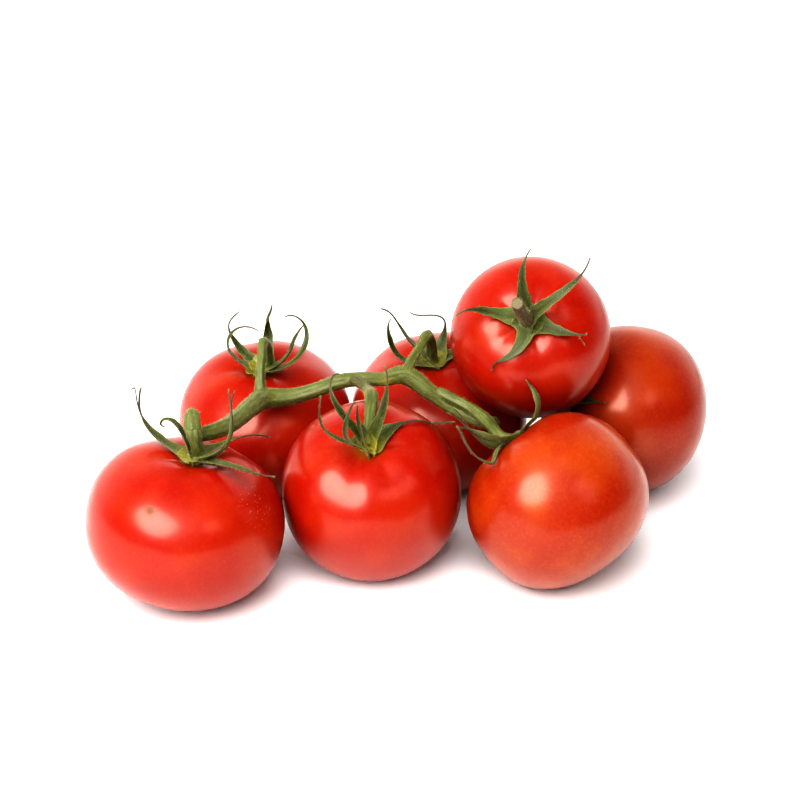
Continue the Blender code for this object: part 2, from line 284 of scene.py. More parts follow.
# Other colours, as linear red, green and blue. The hairs and the table mix two each.
FLECK = (0.75, 0.16, 0.05)
PALE_FLECK = (0.80, 0.30, 0.14)
SCAR = (0.085, 0.040, 0.008)
STALK_RING = (0.50, 0.26, 0.03)
BLOSSOM_END = (0.10, 0.035, 0.012)
YELLOW_FOOT = (0.36, 0.29, 0.025)
PALE_EDGE = (0.23, 0.24, 0.10)
RUST = (0.10, 0.05, 0.02)
DRIED = (0.075, 0.052, 0.028)
FRESH_CUT = (0.42, 0.38, 0.17)
HAIR_COLOURS = ((0.62, 0.50, 0.28), (0.50, 0.52, 0.24))
TABLE_COLOURS = ((0.86, 0.86, 0.86), (0.88, 0.88, 0.88))

# Greens, each with its dark and its light one
STEM_GREENS = ((0.088, 0.104, 0.024), (0.046, 0.048, 0.012), (0.148, 0.160, 0.050))
CALYX_GREENS = ((0.080, 0.098, 0.022), (0.024, 0.030, 0.007), (0.15, 0.165, 0.050))

# Table, in metres
TABLE_WIDTH = 4.0
TABLE_DEPTH = 2.6
TABLE_IN_FRONT = 0.6
TABLE_DROP = 0.0001

# Camera, with its height as an angle above the table
CAMERA_HEIGHT = math.radians(28)
CAMERA_DISTANCE = 800.0
CAMERA_TARGET = Vector((0.0, 0.0, 35.0))
PIXEL = 0.35
IMAGE_PIXELS = 800
SENSOR = 36.0


class Field:
    """A number that nodes work out, so that a formula reads as it would in plain Python."""

    def __init__(self, tree, socket):
        self.tree = tree
        self.socket = socket

    def math(self, operation, *others):
        """Adds a maths node whose first value is this one."""
        return calculate(self.tree, operation, self, *others)

    def __add__(self, other):
        return self.math("ADD", other)

    def __radd__(self, other):
        return self.math("ADD", other)

    def __sub__(self, other):
        return self.math("SUBTRACT", other)

    def __rsub__(self, other):
        return calculate(self.tree, "SUBTRACT", other, self)

    def __mul__(self, other):
        return self.math("MULTIPLY", other)

    def __rmul__(self, other):
        return self.math("MULTIPLY", other)

    def __truediv__(self, other):
        return self.math("DIVIDE", other)

    def __pow__(self, other):
        return self.math("POWER", other)

    def __neg__(self):
        return self.math("MULTIPLY", -1.0)


def connect(tree, value, socket):
    """Links a field or a socket to an input, or sets the input to a plain value."""
    if isinstance(value, Field):
        value = value.socket
    if isinstance(value, bpy.types.NodeSocket):
        tree.links.new(value, socket)
    else:
        socket.default_value = value


def calculate(tree, operation, *values):
    """Adds one maths node."""
    node = tree.nodes.new("ShaderNodeMath")
    node.operation = operation
    for socket, value in zip(node.inputs, values):
        connect(tree, value, socket)
    return Field(tree, node.outputs[0])


def bell(value, middle, spread):
    """A bell curve round a middle value."""
    away = (value - middle) / spread
    return (-(away * away)).math("EXPONENT")


def fade(value, start, end):
    """Rises smoothly from 0 at start to 1 at end."""
    node = value.tree.nodes.new("ShaderNodeMapRange")
    node.interpolation_type = "SMOOTHSTEP"
    connect(value.tree, value, node.inputs["Value"])
    node.inputs["From Min"].default_value = start
    node.inputs["From Max"].default_value = end
    return Field(value.tree, node.outputs["Result"])


def split(tree, vector):
    """Takes a vector apart into three fields."""
    node = tree.nodes.new("ShaderNodeSeparateXYZ")
    connect(tree, vector, node.inputs[0])
    return [Field(tree, socket) for socket in node.outputs]


def vector_of(tree, *values):
    """Puts three values together as a vector."""
    node = tree.nodes.new("ShaderNodeCombineXYZ")
    for socket, value in zip(node.inputs, values):
        connect(tree, value, socket)
    return node.outputs[0]


def add_node(tree, kind, inputs=(), **settings):
    """Adds a node with its settings, and links or sets its inputs by name."""
    node = tree.nodes.new(kind)
    for name, value in settings.items():
        setattr(node, name, value)
    for name, value in dict(inputs).items():
        connect(tree, value, node.inputs[name])
    return node


def noise_of(tree, vector, scale, detail=2.0, roughness=0.5):
    """Smooth noise about 0.5, read at a vector."""
    inputs = {"Vector": vector, "Scale": scale, "Detail": detail, "Roughness": roughness}
    return Field(tree, add_node(tree, "ShaderNodeTexNoise", inputs).outputs[0])


def join_vectors(tree, operation, first, second):
    """Adds one vector maths node that takes two vectors."""
    node = add_node(tree, "ShaderNodeVectorMath", operation=operation)
    connect(tree, first, node.inputs[0])
    connect(tree, second, node.inputs[1])
    return node


def scale_vector(tree, vector, amount):
    """A vector times a number."""
    node = add_node(tree, "ShaderNodeVectorMath", {"Scale": amount}, operation="SCALE")
    connect(tree, vector, node.inputs[0])
    return node.outputs[0]


class Recipe:
    """A geometry tree with named inputs, and what runs it and keeps its result as a plain mesh."""

    KINDS = {float: "NodeSocketFloat", int: "NodeSocketInt", bpy.types.Material: "NodeSocketMaterial"}

    def __init__(self, name, **given):
        self.tree = bpy.data.node_groups.new(name, "GeometryNodeTree")
        self.tree.interface.new_socket("Geometry", in_out="INPUT", socket_type="NodeSocketGeometry")
        self.tree.interface.new_socket("Geometry", in_out="OUTPUT", socket_type="NodeSocketGeometry")
        self.identifiers = {}
        for key, kind in given.items():
            label = key.replace("_", " ").title()
            socket = self.tree.interface.new_socket(label, in_out="INPUT", socket_type=self.KINDS[kind])
            self.identifiers[key] = socket.identifier
        self.given = self.tree.nodes.new("NodeGroupInput")

    def __getitem__(self, key):
        """The named input, as a field."""
        return Field(self.tree, self.given.outputs[key.replace("_", " ").title()])

    def attribute(self, name, kind="FLOAT"):
        """A value kept on the geometry under a name."""
        node = add_node(self.tree, "GeometryNodeInputNamedAttribute", {"Name": name}, data_type=kind)
        return node.outputs["Attribute"]

    def keep(self, geometry, name, value, kind="FLOAT"):
        """Keeps a value on each point of the geometry under a name."""
        inputs = {"Geometry": geometry, "Name": name, "Value": value}
        node = add_node(self.tree, "GeometryNodeStoreNamedAttribute", inputs, data_type=kind)
        return node.outputs[0]

    def end(self, geometry):
        """Makes instances real, sets the material and ends the tree."""
        real = add_node(self.tree, "GeometryNodeRealizeInstances", {"Geometry": geometry})
        inputs = {"Geometry": real.outputs[0], "Material": self["material"]}
        dressed = add_node(self.tree, "GeometryNodeSetMaterial", inputs)
        add_node(self.tree, "NodeGroupOutput", {"Geometry": dressed.outputs[0]})

    def run(self, name, base, **values):
        """Runs the tree on a base mesh and returns the result as a plain mesh."""
        obj = bpy.data.objects.new(name, base)
        modifier = obj.modifiers.new("Recipe", "NODES")
        modifier.node_group = self.tree
        for key, value in values.items():
            modifier[self.identifiers[key]] = value
        return plain_mesh(name, obj)


def plain_mesh(name, obj):
    """Evaluates an object's modifiers, keeps the result as a plain mesh, and removes the object."""
    bpy.context.scene.collection.objects.link(obj)
    bpy.context.view_layer.update()
    graph = bpy.context.evaluated_depsgraph_get()
    mesh = bpy.data.meshes.new_from_object(obj.evaluated_get(graph))
    mesh.name = name
    base = obj.data
    bpy.data.objects.remove(obj)
    if base.users == 0:
        bpy.data.meshes.remove(base)
    return mesh


def placed(point):
    """Takes a point in millimetres to metres, over the middle of the bunch."""
    return (Vector(point[:3]) - BUNCH_MIDDLE) * MM


def fruit_frame(fruit):
    """Places the fruit's own frame: z runs to its stalk, and x stays in the plane of x and z."""
    z = Vector(fruit.axis).normalized()
    x = Vector((z.z, 0.0, -z.x)).normalized()
    y = z.cross(x)
    turn = Matrix((x, y, z)).transposed().to_4x4()
    return Matrix.Translation(placed(fruit.centre)) @ turn


def skin_radius(fruit, direction):
    """Distance in millimetres from the fruit's centre to its skin along a unit direction."""
    across = math.hypot(direction.x, direction.y)
    polar = fruit.radius * fruit.share
    flatness = (across / fruit.radius) ** PLUMPNESS + (abs(direction.z) / polar) ** PLUMPNESS
    angle = math.atan2(across, direction.z)
    turn = math.atan2(direction.y, direction.x)
    dimple = 1 - DIMPLE_DEPTH * math.exp(-((angle / DIMPLE_ANGLE) ** 2))
    shoulder = math.exp(-(((angle - RIB_ANGLE) / RIB_SPREAD) ** 2))
    ribs = 1 + fruit.rib_height * shoulder * math.cos(fruit.ribs * (turn - fruit.rib_turn))
    return dimple * ribs / flatness ** (1 / PLUMPNESS)


def fruit_recipe():
    """Grows a fruit from a sphere: plump sides, dimple, ribs, creased shoulders and blossom end."""
    recipe = Recipe(
        "Fruit",
        radius=float,
        share=float,
        ribs=float,
        rib_height=float,
        rib_turn=float,
        lumps=float,
        seed=float,
        material=bpy.types.Material,
    )
    tree = recipe.tree
    inputs = {"Segments": FRUIT_SEGMENTS, "Rings": FRUIT_RINGS, "Radius": 1.0}
    sphere = add_node(tree, "GeometryNodeMeshUVSphere", inputs)
    place = tree.nodes.new("GeometryNodeInputPosition")
    x, y, z = split(tree, place.outputs[0])
    turn = y.math("ARCTAN2", x)
    slope = (x * x + y * y).math("SQRT").math("ARCTAN2", z)
    angle = (slope / math.pi) ** RING_CROWDING * math.pi
    across = angle.math("SINE")
    height = angle.math("COSINE")
    polar = recipe["radius"] * recipe["share"]
    flatness = (across / recipe["radius"]) ** PLUMPNESS + (height.math("ABSOLUTE") / polar) ** PLUMPNESS
    dimple = 1.0 - bell(angle, 0.0, DIMPLE_ANGLE) * DIMPLE_DEPTH
    wave = ((turn - recipe["rib_turn"]) * recipe["ribs"]).math("COSINE")
    ribs = bell(angle, RIB_ANGLE, RIB_SPREAD) * recipe["rib_height"] * wave + 1.0
    crease = ((0.5 - wave * 0.5) ** 5.0) * bell(angle, CREASE_ANGLE, 0.16) * recipe["rib_height"] * 0.9
    blossom = bell(angle, math.pi, 0.16) * 0.012 - bell(angle, math.pi, 0.035) * 0.010
    direction = vector_of(tree, across * turn.math("COSINE"), across * turn.math("SINE"), height)
    shifted = join_vectors(tree, "ADD", direction, vector_of(tree, recipe["seed"], 0.0, 0.0))
    uneven = (noise_of(tree, shifted.outputs[0], 1.6, 1.0) - 0.5) * recipe["lumps"]
    reach = dimple * ribs / flatness ** (1 / PLUMPNESS) * (1.0 + uneven - crease - blossom)
    skin = scale_vector(tree, direction, reach * MM)
    # The direction is kept before the points move, because it is worked out from where they are.
    marked = recipe.keep(sphere.outputs["Mesh"], "own", direction, "FLOAT_VECTOR")
    grown = add_node(tree, "GeometryNodeSetPosition", {"Geometry": marked, "Position": skin})
    smooth = add_node(tree, "GeometryNodeSetShadeSmooth", {"Geometry": grown.outputs[0]})
    recipe.end(smooth.outputs[0])
    return recipe


def tube_recipe():
    """Makes round tubes along lines whose points carry a thickness."""
    recipe = Recipe("Tubes", material=bpy.types.Material)
    tree = recipe.tree
    lines = add_node(tree, "GeometryNodeMeshToCurve", {"Mesh": recipe.given.outputs["Geometry"]})
    ring = add_node(tree, "GeometryNodeCurvePrimitiveCircle", {"Resolution": TUBE_SIDES, "Radius": MM})
    inputs = {
        "Curve": lines.outputs[0],
        "Profile Curve": ring.outputs[0],
        "Scale": recipe.attribute("thickness"),
        "Fill Caps": True,
    }
    tube = add_node(tree, "GeometryNodeCurveToMesh", inputs)
    recipe.end(tube.outputs[0])
    return recipe


def blade_recipe():
    """Makes rolled, channelled blades along lines whose points carry their width, side and roll."""
    recipe = Recipe("Blades", thickness=float, midrib=float, material=bpy.types.Material)
    tree = recipe.tree
    lines = add_node(tree, "GeometryNodeMeshToCurve", {"Mesh": recipe.given.outputs["Geometry"]})
    ring = add_node(tree, "GeometryNodeCurvePrimitiveCircle", {"Resolution": SEPAL_SIDES, "Radius": 1.0})
    place = tree.nodes.new("GeometryNodeInputPosition")
    marked = recipe.keep(ring.outputs[0], "section", place.outputs[0], "FLOAT_VECTOR")
    inputs = {"Curve": lines.outputs[0], "Profile Curve": marked, "Fill Caps": True}
    loft = add_node(tree, "GeometryNodeCurveToMesh", inputs)
    across, above, _ = split(tree, recipe.attribute("section", "FLOAT_VECTOR"))
    half = Field(tree, recipe.attribute("half"))
    roll = Field(tree, recipe.attribute("roll"))
    thin = Field(tree, recipe.attribute("thin"))
    bend = across * roll
    under = (0.5 - above * 0.5) * bell(across, 0.0, 0.2) * recipe["midrib"]
    lift = (above * (1.0 - across * across * 0.5) * 0.5 * recipe["thickness"] - under) * thin
    sideways = half * bend.math("SINE") / roll - bend.math("SINE") * lift
    upward = half * (1.0 - bend.math("COSINE")) / roll + bend.math("COSINE") * lift
    point = recipe.attribute("middle", "FLOAT_VECTOR")
    for name, amount in (("side", sideways), ("face", upward)):
        away = scale_vector(tree, recipe.attribute(name, "FLOAT_VECTOR"), amount * MM)
        point = join_vectors(tree, "ADD", point, away).outputs[0]
    inputs = {"Geometry": loft.outputs[0], "Position": point}
    shaped = add_node(tree, "GeometryNodeSetPosition", inputs)
    kept = recipe.keep(shaped.outputs[0], "across", across)
    smooth = add_node(tree, "GeometryNodeSetShadeSmooth", {"Geometry": kept})
    recipe.end(smooth.outputs[0])
    return recipe


def hair_recipe():
    """Scatters fine tapering hairs over a surface, each a slim cone that leans a little."""
    recipe = Recipe(
        "Hairs",
        density=float,
        hair_length=float,
        hair_radius=float,
        lean=float,
        seed=int,
        material=bpy.types.Material,
    )
    tree = recipe.tree
    inputs = {
        "Mesh": recipe.given.outputs["Geometry"],
        "Density": recipe["density"],
        "Seed": recipe["seed"],
    }
    roots = add_node(tree, "GeometryNodeDistributePointsOnFaces", inputs)
    inputs = {
        "Vertices": 3,
        "Radius Top": 0.0,
        "Radius Bottom": recipe["hair_radius"] * MM,
        "Depth": recipe["hair_length"] * MM,
    }
    cone = add_node(tree, "GeometryNodeMeshCone", inputs)
    lean = add_node(tree, "FunctionNodeRandomValue", {"Seed": recipe["seed"]}, data_type="FLOAT_VECTOR")
    connect(tree, vector_of(tree, -recipe["lean"], -recipe["lean"], -math.pi), lean.inputs[0])
    connect(tree, vector_of(tree, recipe["lean"], recipe["lean"], math.pi), lean.inputs[1])
    tilt = add_node(tree, "FunctionNodeEulerToRotation", {"Euler": lean.outputs[0]})
    turned = add_node(
        tree,
        "FunctionNodeRotateRotation",
        {"Rotation": roots.outputs["Rotation"], "Rotate By": tilt.outputs[0]},
        rotation_space="LOCAL",
    )
    grown = add_node(tree, "FunctionNodeRandomValue", {"Seed": recipe["seed"]}, data_type="FLOAT")
    size = add_node(tree, "ShaderNodeMapRange", {"To Min": 0.4, "To Max": 1.0})
    connect(tree, grown.outputs[1], size.inputs["Value"])
    inputs = {
        "Points": roots.outputs["Points"],
        "Instance": cone.outputs["Mesh"],
        "Rotation": turned.outputs[0],
        "Scale": size.outputs["Result"],
    }
    hairs = add_node(tree, "GeometryNodeInstanceOnPoints", inputs)
    recipe.end(hairs.outputs[0])
    return recipe


def mesh_points(mesh):
    """Reads a mesh's points, in metres."""
    values = np.empty(len(mesh.vertices) * 3, np.float32)
    mesh.vertices.foreach_get("co", values)
    return values.reshape(-1, 3).astype(float)


def move_points(mesh, points):
    """Moves a mesh's points to new places, in metres."""
    mesh.vertices.foreach_set("co", points.astype(np.float32).ravel())
    mesh.update()


def keep_values(mesh, **values):
    """Keeps a number or a vector for each point of a mesh, under its name."""
    for name, numbers in values.items():
        numbers = np.asarray(numbers, dtype=np.float32)
        is_vector = numbers.ndim == 2
        attribute = mesh.attributes.get(name)
        if attribute is None:
            attribute = mesh.attributes.new(name, "FLOAT_VECTOR" if is_vector else "FLOAT", "POINT")
        attribute.data.foreach_set("vector" if is_vector else "value", numbers.ravel())


def line_mesh(name, lines):
    """Makes a mesh of open lines. Each line is a dict of equally long lists, one value for each point.

    The list named middle gives the points. The others are kept as attributes under their names.
    """
    mesh = bpy.data.meshes.new(name)
    points = [point for line in lines for point in line["middle"]]
    edges = []
    start = 0
    for line in lines:
        count = len(line["middle"])
        edges += [(start + step, start + step + 1) for step in range(count - 1)]
        start += count
    mesh.from_pydata(points, edges, [])
    keep_values(mesh, **{key: [value for line in lines for value in line[key]] for key in lines[0]})
    return mesh


def smooth_route(points):
    """Runs a smooth curve through points, each with its radius as a fourth number."""
    knots = [Vector(point) for point in points]
    route = []
    for index in range(len(knots) - 1):
        before = knots[max(index - 1, 0)]
        start, end = knots[index], knots[index + 1]
        after = knots[min(index + 2, len(knots) - 1)]
        for step in range(ROUTE_STEPS):
            t = step / ROUTE_STEPS
            leave = (end - before) / 2
            arrive = (after - start) / 2
            rise = t * t * (3 - 2 * t)
            route.append(
                start * (1 - rise)
                + end * rise
                + leave * (t * (1 - t) ** 2)
                - arrive * (t * t * (1 - t))
            )
    route.append(knots[-1])
    return route


def split_stalk(place):
    """Splits a stalk's smooth route at its knuckle, with ends that run a little past each other."""
    route = smooth_route(STALKS[place])
    at = KNUCKLE * ROUTE_STEPS
    along = (route[at + 1] - route[at - 1]).to_3d().normalized()
    overlap = (along * KNUCKLE_OVERLAP).to_4d() - Vector((0, 0, 0, 1))
    return [*route[:at], route[at] + overlap], [route[at] - overlap, *route[at + 1 :]]


class Track:
    """A route that a stem follows, with what is needed to say where a point lies on it."""

    def __init__(self, route):
        self.points = np.array([placed(point) / MM for point in route])
        self.radii = np.array([point[3] for point in route])
        steps = np.diff(self.points, axis=0)
        lengths = np.linalg.norm(steps, axis=1)
        self.along = np.concatenate([[0.0], np.cumsum(lengths)])
        ahead = np.vstack([steps, steps[-1:]])
        behind = np.vstack([steps[:1], steps])
        self.tangents = ahead + behind
        self.tangents /= np.linalg.norm(self.tangents, axis=1)[:, None]
        side = np.cross(self.tangents[0], (0.0, 0.3, 1.0))
        sides = []
        for tangent in self.tangents:
            side = side - tangent * (side @ tangent)
            side /= np.linalg.norm(side)
            sides.append(side)
        self.sides = np.array(sides)
        self.tops = np.cross(self.sides, self.tangents)


class Trace:
    """Where each point of a stem's surface lies: on which track, how far along and at what angle."""

    def __init__(self, points, tracks):
        owners = np.concatenate([np.full(len(track.points), index) for index, track in enumerate(tracks)])
        middles = np.vstack([track.points for track in tracks])
        radii = np.concatenate([track.radii for track in tracks])
        near = np.empty(len(points), dtype=int)
        second = np.empty(len(points))
        first = np.empty(len(points))
        for start in range(0, len(points), 4000):
            part = slice(start, start + 4000)
            gaps = np.linalg.norm(points[part, None] - middles[None], axis=2) - radii
            near[part] = gaps.argmin(1)
            first[part] = gaps.min(1)
            others = np.where(owners[None] == owners[near[part]][:, None], np.inf, gaps)
            second[part] = others.min(1)
        self.owner = owners[near]
        self.apart = np.clip((second - first) / 1.5, 0.0, 1.0)
        tangents = np.vstack([track.tangents for track in tracks])[near]
        sides = np.vstack([track.sides for track in tracks])[near]
        tops = np.vstack([track.tops for track in tracks])[near]
        away = points - middles[near]
        ahead = (away * tangents).sum(1)
        self.along = np.concatenate([track.along for track in tracks])[near] + ahead
        self.angle = np.arctan2((away * tops).sum(1), (away * sides).sum(1))
        self.radius = radii[near]
        self.lengths = np.array([track.along[-1] for track in tracks])[self.owner]


def joined_mesh(name, meshes):
    """Joins meshes into one, with the materials and attributes that they carry."""
    bm = bmesh.new()
    materials = []
    for mesh in meshes:
        before = len(bm.faces)
        bm.from_mesh(mesh)
        bm.faces.ensure_lookup_table()
        for index in range(before, len(bm.faces)):
            material = mesh.materials[bm.faces[index].material_index]
            if material not in materials:
                materials.append(material)
            bm.faces[index].material_index = materials.index(material)
    bmesh.ops.recalc_face_normals(bm, faces=bm.faces)
    joined = bpy.data.meshes.new(name)
    bm.to_mesh(joined)
    bm.free()
    for material in materials:
        joined.materials.append(material)
    for mesh in meshes:
        bpy.data.meshes.remove(mesh)
    return joined


def blended_mesh(name, meshes, material, rounds):
    """Melts overlapping closed meshes into one skin with rounded forks."""
    obj = bpy.data.objects.new(name, joined_mesh(name, meshes))
    remesh = obj.modifiers.new("Melt", "REMESH")
    remesh.mode = "VOXEL"
    remesh.voxel_size = VOXEL * MM
    remesh.use_smooth_shade = True
    soften = obj.modifiers.new("Soften", "SMOOTH")
    soften.factor = 0.5
    soften.iterations = rounds
    mesh = plain_mesh(name, obj)
    mesh.materials.clear()
    mesh.materials.append(material)
    return mesh


def add_piece(name, mesh, slot, *nodes):
    """Puts a finished mesh in the scene as a piece that stands for the frame's nodes."""
    obj = bpy.data.objects.new(name, mesh)
    bpy.context.scene.collection.objects.link(obj)
    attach(obj, BODY)
    if nodes:
        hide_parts(*nodes)
    return obj


def new_material(name):
    """Starts a material, and returns it with its tree and its Principled shader."""
    material = bpy.data.materials.new(name)
    material.use_nodes = True
    tree = material.node_tree
    return material, tree, tree.nodes["Principled BSDF"]


def mixed(tree, amount, first, second):
    """Mixes two colours, each a plain colour or a socket."""
    node = add_node(tree, "ShaderNodeMix", data_type="RGBA")
    connect(tree, amount, node.inputs["Factor"])
    for socket, colour in zip((node.inputs["A"], node.inputs["B"]), (first, second)):
        connect(tree, colour if isinstance(colour, bpy.types.NodeSocket) else (*colour, 1.0), socket)
    return node.outputs["Result"]


def kept(tree, name, output="Fac"):
    """A value kept on the mesh under a name."""
    node = add_node(tree, "ShaderNodeAttribute", attribute_name=name)
    return node.outputs[output]


def speckles(tree, vector, scale, size, share):
    """Small round dots in some of the cells of a pattern: 1 in a dot and 0 outside."""
    node = add_node(tree, "ShaderNodeTexVoronoi", {"Scale": scale, "Vector": vector})
    distance = Field(tree, node.outputs["Distance"])
    red, green, _ = split(tree, node.outputs["Color"])
    chosen = red.math("LESS_THAN", share)
    return (1.0 - fade(distance / (green * size + size * 0.5), 0.6, 1.0)) * chosen


def from_spot(tree, own, place, spot):
    """Distance from a spot on a fruit's skin, in fruit radii."""
    middle = (fruit_frame(FRUITS[place]).inverted() @ placed(spot)).normalized()
    return Field(tree, join_vectors(tree, "DISTANCE", own, middle).outputs["Value"])


def skin_material(place, skin):
    """Glossy tomato skin: ripe red with paler flushes, faint streaks, flecks and pits."""
    material, tree, shader = new_material(f"skin_{place}")
    own = kept(tree, "own", "Vector")
    x, y, z = split(tree, own)
    across = (x * x + y * y).math("SQRT")
    angle = across.math("ARCTAN2", z)
    meridian = vector_of(tree, x / (across + 0.05), y / (across + 0.05), angle * 0.5)
    flush = fade(noise_of(tree, own, 1.7, 3.0), 0.35, 0.75)
    streaks = fade(noise_of(tree, meridian, 7.0, 3.0, 0.6), 0.45, 0.8) * bell(angle, 0.55, 0.5)
    mottle = fade(noise_of(tree, own, 26.0, 2.0, 0.6), 0.42, 0.72)
    paleness = (flush * 0.7 + streaks * 0.35 + mottle * 0.3) * skin.mottle
    colour = mixed(tree, paleness, skin.ripe, skin.pale)
    dots = speckles(tree, own, 34.0, 0.15, 0.28)
    colour = mixed(tree, dots * 0.2, colour, FLECK)
    ring = bell(angle, 0.10, 0.10)
    colour = mixed(tree, ring * 0.55, colour, STALK_RING)
    blossom = fade(angle, math.pi - 0.045, math.pi - 0.02)
    colour = mixed(tree, blossom * 0.9, colour, BLOSSOM_END)
    pits = speckles(tree, own, 40.0, 0.13, 0.35)
    fine = noise_of(tree, own, 190.0, 2.0)
    height = fine * 0.02 - pits * 0.5 + dots * 0.05
    if place == "front_left":
        flecked = 1.0 - fade(from_spot(tree, own, place, FLECKED_MIDDLE), 0.10, 0.36)
        flecks = speckles(tree, own, 45.0, 0.28, 0.38) * flecked
        colour = mixed(tree, flecks * 0.6, colour, PALE_FLECK)
        ragged = noise_of(tree, own, 42.0, 3.0, 0.7) * 0.14 - 0.05
        from_scar = from_spot(tree, own, place, SCAR_MIDDLE) + ragged
        scar = (1.0 - fade(from_scar, SCAR_RADIUS * 0.3, SCAR_RADIUS)) * 0.85
        colour = mixed(tree, scar, colour, SCAR)
        height = height - scar * 0.6
        connect(tree, 0.5 - scar * 0.4, shader.inputs["Specular IOR Level"])
    bump = add_node(tree, "ShaderNodeBump", {"Height": height, "Strength": 0.35, "Distance": 0.12 * MM})
    connect(tree, colour, shader.inputs["Base Color"])
    connect(tree, bump.outputs[0], shader.inputs["Normal"])
    connect(tree, noise_of(tree, own, 3.0, 2.0) * 0.05 + 0.20, shader.inputs["Roughness"])
    shader.inputs["IOR"].default_value = 1.45
    shader.inputs["Specular Tint"].default_value = (1.0, 0.88, 0.78, 1.0)
    shader.inputs["Coat Weight"].default_value = 0.3
    shader.inputs["Coat Roughness"].default_value = 0.42
    shader.inputs["Coat Tint"].default_value = (1.0, 0.9, 0.8, 1.0)
    shader.inputs["Subsurface Weight"].default_value = 0.12
    shader.inputs["Subsurface Radius"].default_value = (1.0, 0.12, 0.05)
    shader.inputs["Subsurface Scale"].default_value = 3.0 * MM
    return material


def green_material(name, green, dark, light):
    """Stem and sepal green, streaked along the grain, drying to brown where the mesh says so."""
    material, tree, shader = new_material(name)
    grain = kept(tree, "grain", "Vector")
    names = ("dry", "fresh", "shade", "cut", "edge")
    dry, fresh, shade, cut, edge = (Field(tree, kept(tree, name)) for name in names)
    streak = fade(noise_of(tree, grain, 1.3, 3.0, 0.6), 0.3, 0.75)
    colour = mixed(tree, streak, green, light)
    blotches = fade(noise_of(tree, grain, 0.45, 2.0), 0.5, 0.75)
    colour = mixed(tree, blotches * 0.45, colour, dark)
    colour = mixed(tree, shade, colour, dark)
    colour = mixed(tree, fresh, colour, YELLOW_FOOT)
    colour = mixed(tree, edge * 0.6, colour, PALE_EDGE)
    rust = speckles(tree, grain, 1.6, 0.35, 0.25)
    colour = mixed(tree, rust * 0.5, colour, RUST)
    ragged = noise_of(tree, grain, 1.0, 3.0, 0.7) - 0.5
    colour = mixed(tree, fade(dry + ragged * 0.5, 0.15, 0.85), colour, DRIED)
    colour = mixed(tree, cut, colour, FRESH_CUT)
    fine = noise_of(tree, grain, 5.0, 2.0)
    height = fine * 0.5 + streak * 0.4 - rust * 0.3
    bump = add_node(tree, "ShaderNodeBump", {"Height": height, "Strength": 0.6, "Distance": 0.12 * MM})
    connect(tree, colour, shader.inputs["Base Color"])
    connect(tree, bump.outputs[0], shader.inputs["Normal"])
    connect(tree, fine * 0.15 + 0.45, shader.inputs["Roughness"])
    shader.inputs["Specular IOR Level"].default_value = 0.4
    shader.inputs["Sheen Weight"].default_value = 0.10
    shader.inputs["Sheen Roughness"].default_value = 0.4
    shader.inputs["Sheen Tint"].default_value = (0.95, 0.85, 0.6, 1.0)
    return material


def hair_material():
    """Pale hairs, mottled between two pale colours."""
    material, tree, shader = new_material("hair")
    own = add_node(tree, "ShaderNodeTexCoord")
    patches = noise_of(tree, own.outputs["Object"], 180.0, 2.0)
    connect(tree, mixed(tree, patches, *HAIR_COLOURS), shader.inputs["Base Color"])
    shader.inputs["Roughness"].default_value = 0.5
    return material


def fruit_piece(place, recipe):
    """Makes one fruit, laid flat where it rests on the table."""
    fruit = FRUITS[place]
    skin = SKINS.get(place, Skin())
    mesh = recipe.run(
        f"skin_{place}",
        bpy.data.meshes.new("Nothing"),
        radius=fruit.radius,
        share=fruit.share,
        ribs=float(fruit.ribs),
        rib_height=fruit.rib_height,
        rib_turn=fruit.rib_turn,
        lumps=LUMPS,
        seed=3.0 * list(FRUITS).index(place),
        material=skin_material(place, skin),
    )
    mesh.transform(fruit_frame(fruit))
    points = mesh_points(mesh)
    points[:, 2] = np.maximum(points[:, 2], 0.0)
    move_points(mesh, points)
    add_piece(f"skin_{place}", mesh, skin.slot, f"fruit_{place}")


def sepal_width(sepal, share):
    """Half the sepal's width: a star arm at its foot, then a blade, then a withered thread."""
    star = STAR_WIDTH * math.exp(-((share * sepal.length / STAR_REACH) ** 2))
    along = min(share / sepal.slim, 1.0)
    blade = 1.75 * sepal.breadth * (1 - along**2.6) ** 1.1
    return star + blade + 0.5 - 0.2 * share


